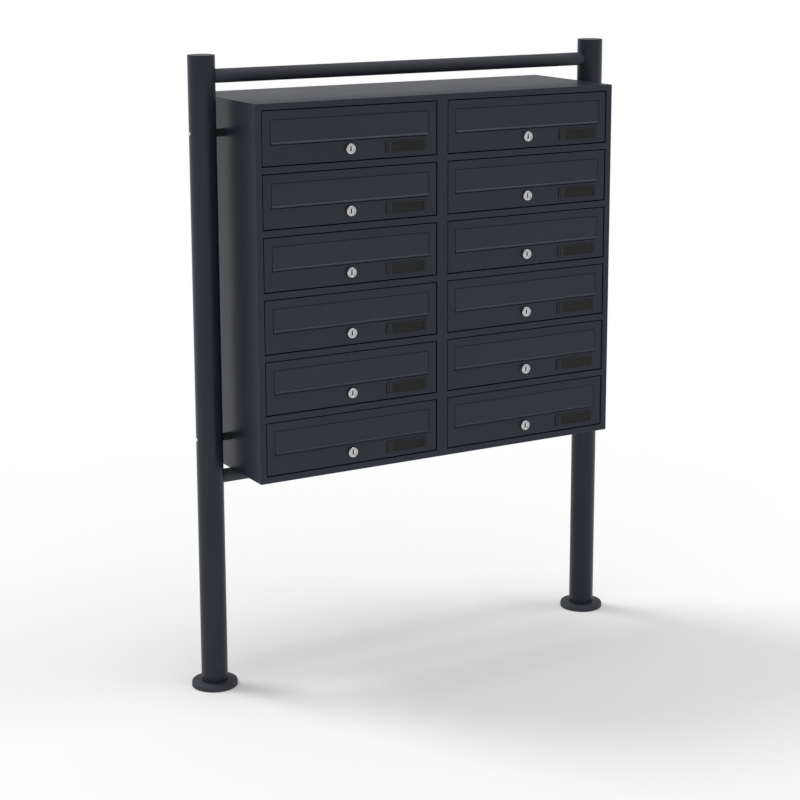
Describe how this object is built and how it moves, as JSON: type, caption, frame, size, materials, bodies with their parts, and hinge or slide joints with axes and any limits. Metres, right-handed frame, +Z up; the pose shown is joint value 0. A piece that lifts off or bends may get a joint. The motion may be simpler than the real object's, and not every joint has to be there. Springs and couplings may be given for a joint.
{
  "type": "cluster mailbox unit",
  "caption": "Free-standing bank of lockable letter compartments with drop-in mail flaps, in one steel casing hung between two round posts.",
  "frame": {"origin": "centre of the bounding box, at floor level", "axes": "+Z up, the doors face -Y, +X to the right of someone facing the doors"},
  "size_m": [0.9076, 0.2624, 1.157],
  "materials": {
    "anthracite_paint": "matte powder coat",
    "nickel": "polished nickel plate",
    "black_plastic": "matte"
  },
  "bodies": {
    "stand_and_casing": {"casing": "anthracite_paint", "compartment_grid": "anthracite_paint", "post_left": "anthracite_paint", "post_right": "anthracite_paint", "base_flange_left": "anthracite_paint", "base_flange_right": "anthracite_paint", "top_rail": "anthracite_paint", "lower_rail": "anthracite_paint", "spacer_left_upper": "black_plastic", "spacer_left_lower": "black_plastic", "spacer_right_upper": "black_plastic", "spacer_right_lower": "black_plastic"},
    "door_body_L1": {"door_L1": "anthracite_paint", "name_plate_L1": "black_plastic"},
    "flap_body_L1": {"mail_flap_L1": "anthracite_paint"},
    "lock_body_L1": {"cam_lock_L1": "nickel"},
    "door_body_L2": {"door_L2": "anthracite_paint", "name_plate_L2": "black_plastic"},
    "flap_body_L2": {"mail_flap_L2": "anthracite_paint"},
    "lock_body_L2": {"cam_lock_L2": "nickel"},
    "door_body_L3": {"door_L3": "anthracite_paint", "name_plate_L3": "black_plastic"},
    "flap_body_L3": {"mail_flap_L3": "anthracite_paint"},
    "lock_body_L3": {"cam_lock_L3": "nickel"},
    "door_body_L4": {"door_L4": "anthracite_paint", "name_plate_L4": "black_plastic"},
    "flap_body_L4": {"mail_flap_L4": "anthracite_paint"},
    "lock_body_L4": {"cam_lock_L4": "nickel"},
    "door_body_L5": {"door_L5": "anthracite_paint", "name_plate_L5": "black_plastic"},
    "flap_body_L5": {"mail_flap_L5": "anthracite_paint"},
    "lock_body_L5": {"cam_lock_L5": "nickel"},
    "door_body_L6": {"door_L6": "anthracite_paint", "name_plate_L6": "black_plastic"},
    "flap_body_L6": {"mail_flap_L6": "anthracite_paint"},
    "lock_body_L6": {"cam_lock_L6": "nickel"},
    "door_body_R1": {"door_R1": "anthracite_paint", "name_plate_R1": "black_plastic"},
    "flap_body_R1": {"mail_flap_R1": "anthracite_paint"},
    "lock_body_R1": {"cam_lock_R1": "nickel"},
    "door_body_R2": {"door_R2": "anthracite_paint", "name_plate_R2": "black_plastic"},
    "flap_body_R2": {"mail_flap_R2": "anthracite_paint"},
    "lock_body_R2": {"cam_lock_R2": "nickel"},
    "door_body_R3": {"door_R3": "anthracite_paint", "name_plate_R3": "black_plastic"},
    "flap_body_R3": {"mail_flap_R3": "anthracite_paint"},
    "lock_body_R3": {"cam_lock_R3": "nickel"},
    "door_body_R4": {"door_R4": "anthracite_paint", "name_plate_R4": "black_plastic"},
    "flap_body_R4": {"mail_flap_R4": "anthracite_paint"},
    "lock_body_R4": {"cam_lock_R4": "nickel"},
    "door_body_R5": {"door_R5": "anthracite_paint", "name_plate_R5": "black_plastic"},
    "flap_body_R5": {"mail_flap_R5": "anthracite_paint"},
    "lock_body_R5": {"cam_lock_R5": "nickel"},
    "door_body_R6": {"door_R6": "anthracite_paint", "name_plate_R6": "black_plastic"},
    "flap_body_R6": {"mail_flap_R6": "anthracite_paint"},
    "lock_body_R6": {"cam_lock_R6": "nickel"}
  },
  "joints": [
    {"name": "door_L1_hinge", "type": "hinge", "parent": "stand_and_casing", "child": "door_body_L1", "pos_m": [-0.1858, -0.11925, 1.055], "axis": [-1, 0, 0], "range_deg": [0, 80]},
    {"name": "mail_flap_L1_hinge", "type": "hinge", "parent": "door_body_L1", "child": "flap_body_L1", "pos_m": [-0.1858, -0.12245, 1.04295], "axis": [-1, 0, 0], "range_deg": [0, 60]},
    {"name": "cam_lock_L1_turn", "type": "hinge", "parent": "door_body_L1", "child": "lock_body_L1", "pos_m": [-0.189, -0.12525, 0.9933], "axis": [0, 1, 0], "range_deg": [0, 90]},
    {"name": "door_L2_hinge", "type": "hinge", "parent": "stand_and_casing", "child": "door_body_L2", "pos_m": [-0.1858, -0.11925, 0.945], "axis": [-1, 0, 0], "range_deg": [0, 80]},
    {"name": "mail_flap_L2_hinge", "type": "hinge", "parent": "door_body_L2", "child": "flap_body_L2", "pos_m": [-0.1858, -0.12245, 0.93295], "axis": [-1, 0, 0], "range_deg": [0, 60]},
    {"name": "cam_lock_L2_turn", "type": "hinge", "parent": "door_body_L2", "child": "lock_body_L2", "pos_m": [-0.189, -0.12525, 0.8833], "axis": [0, 1, 0], "range_deg": [0, 90]},
    {"name": "door_L3_hinge", "type": "hinge", "parent": "stand_and_casing", "child": "door_body_L3", "pos_m": [-0.1858, -0.11925, 0.835], "axis": [-1, 0, 0], "range_deg": [0, 80]},
    {"name": "mail_flap_L3_hinge", "type": "hinge", "parent": "door_body_L3", "child": "flap_body_L3", "pos_m": [-0.1858, -0.12245, 0.82295], "axis": [-1, 0, 0], "range_deg": [0, 60]},
    {"name": "cam_lock_L3_turn", "type": "hinge", "parent": "door_body_L3", "child": "lock_body_L3", "pos_m": [-0.189, -0.12525, 0.7733], "axis": [0, 1, 0], "range_deg": [0, 90]},
    {"name": "door_L4_hinge", "type": "hinge", "parent": "stand_and_casing", "child": "door_body_L4", "pos_m": [-0.1858, -0.11925, 0.725], "axis": [-1, 0, 0], "range_deg": [0, 80]},
    {"name": "mail_flap_L4_hinge", "type": "hinge", "parent": "door_body_L4", "child": "flap_body_L4", "pos_m": [-0.1858, -0.12245, 0.71295], "axis": [-1, 0, 0], "range_deg": [0, 60]},
    {"name": "cam_lock_L4_turn", "type": "hinge", "parent": "door_body_L4", "child": "lock_body_L4", "pos_m": [-0.189, -0.12525, 0.6633], "axis": [0, 1, 0], "range_deg": [0, 90]},
    {"name": "door_L5_hinge", "type": "hinge", "parent": "stand_and_casing", "child": "door_body_L5", "pos_m": [-0.1858, -0.11925, 0.615], "axis": [-1, 0, 0], "range_deg": [0, 80]},
    {"name": "mail_flap_L5_hinge", "type": "hinge", "parent": "door_body_L5", "child": "flap_body_L5", "pos_m": [-0.1858, -0.12245, 0.60295], "axis": [-1, 0, 0], "range_deg": [0, 60]},
    {"name": "cam_lock_L5_turn", "type": "hinge", "parent": "door_body_L5", "child": "lock_body_L5", "pos_m": [-0.189, -0.12525, 0.5533], "axis": [0, 1, 0], "range_deg": [0, 90]},
    {"name": "door_L6_hinge", "type": "hinge", "parent": "stand_and_casing", "child": "door_body_L6", "pos_m": [-0.1858, -0.11925, 0.505], "axis": [-1, 0, 0], "range_deg": [0, 80]},
    {"name": "mail_flap_L6_hinge", "type": "hinge", "parent": "door_body_L6", "child": "flap_body_L6", "pos_m": [-0.1858, -0.12245, 0.49295], "axis": [-1, 0, 0], "range_deg": [0, 60]},
    {"name": "cam_lock_L6_turn", "type": "hinge", "parent": "door_body_L6", "child": "lock_body_L6", "pos_m": [-0.189, -0.12525, 0.4433], "axis": [0, 1, 0], "range_deg": [0, 90]},
    {"name": "door_R1_hinge", "type": "hinge", "parent": "stand_and_casing", "child": "door_body_R1", "pos_m": [0.1858, -0.11925, 1.055], "axis": [-1, 0, 0], "range_deg": [0, 80]},
    {"name": "mail_flap_R1_hinge", "type": "hinge", "parent": "door_body_R1", "child": "flap_body_R1", "pos_m": [0.1858, -0.12245, 1.04295], "axis": [-1, 0, 0], "range_deg": [0, 60]},
    {"name": "cam_lock_R1_turn", "type": "hinge", "parent": "door_body_R1", "child": "lock_body_R1", "pos_m": [0.1826, -0.12525, 0.9933], "axis": [0, 1, 0], "range_deg": [0, 90]},
    {"name": "door_R2_hinge", "type": "hinge", "parent": "stand_and_casing", "child": "door_body_R2", "pos_m": [0.1858, -0.11925, 0.945], "axis": [-1, 0, 0], "range_deg": [0, 80]},
    {"name": "mail_flap_R2_hinge", "type": "hinge", "parent": "door_body_R2", "child": "flap_body_R2", "pos_m": [0.1858, -0.12245, 0.93295], "axis": [-1, 0, 0], "range_deg": [0, 60]},
    {"name": "cam_lock_R2_turn", "type": "hinge", "parent": "door_body_R2", "child": "lock_body_R2", "pos_m": [0.1826, -0.12525, 0.8833], "axis": [0, 1, 0], "range_deg": [0, 90]},
    {"name": "door_R3_hinge", "type": "hinge", "parent": "stand_and_casing", "child": "door_body_R3", "pos_m": [0.1858, -0.11925, 0.835], "axis": [-1, 0, 0], "range_deg": [0, 80]},
    {"name": "mail_flap_R3_hinge", "type": "hinge", "parent": "door_body_R3", "child": "flap_body_R3", "pos_m": [0.1858, -0.12245, 0.82295], "axis": [-1, 0, 0], "range_deg": [0, 60]},
    {"name": "cam_lock_R3_turn", "type": "hinge", "parent": "door_body_R3", "child": "lock_body_R3", "pos_m": [0.1826, -0.12525, 0.7733], "axis": [0, 1, 0], "range_deg": [0, 90]},
    {"name": "door_R4_hinge", "type": "hinge", "parent": "stand_and_casing", "child": "door_body_R4", "pos_m": [0.1858, -0.11925, 0.725], "axis": [-1, 0, 0], "range_deg": [0, 80]},
    {"name": "mail_flap_R4_hinge", "type": "hinge", "parent": "door_body_R4", "child": "flap_body_R4", "pos_m": [0.1858, -0.12245, 0.71295], "axis": [-1, 0, 0], "range_deg": [0, 60]},
    {"name": "cam_lock_R4_turn", "type": "hinge", "parent": "door_body_R4", "child": "lock_body_R4", "pos_m": [0.1826, -0.12525, 0.6633], "axis": [0, 1, 0], "range_deg": [0, 90]},
    {"name": "door_R5_hinge", "type": "hinge", "parent": "stand_and_casing", "child": "door_body_R5", "pos_m": [0.1858, -0.11925, 0.615], "axis": [-1, 0, 0], "range_deg": [0, 80]},
    {"name": "mail_flap_R5_hinge", "type": "hinge", "parent": "door_body_R5", "child": "flap_body_R5", "pos_m": [0.1858, -0.12245, 0.60295], "axis": [-1, 0, 0], "range_deg": [0, 60]},
    {"name": "cam_lock_R5_turn", "type": "hinge", "parent": "door_body_R5", "child": "lock_body_R5", "pos_m": [0.1826, -0.12525, 0.5533], "axis": [0, 1, 0], "range_deg": [0, 90]},
    {"name": "door_R6_hinge", "type": "hinge", "parent": "stand_and_casing", "child": "door_body_R6", "pos_m": [0.1858, -0.11925, 0.505], "axis": [-1, 0, 0], "range_deg": [0, 80]},
    {"name": "mail_flap_R6_hinge", "type": "hinge", "parent": "door_body_R6", "child": "flap_body_R6", "pos_m": [0.1858, -0.12245, 0.49295], "axis": [-1, 0, 0], "range_deg": [0, 60]},
    {"name": "cam_lock_R6_turn", "type": "hinge", "parent": "door_body_R6", "child": "lock_body_R6", "pos_m": [0.1826, -0.12525, 0.4433], "axis": [0, 1, 0], "range_deg": [0, 90]}
  ]
}
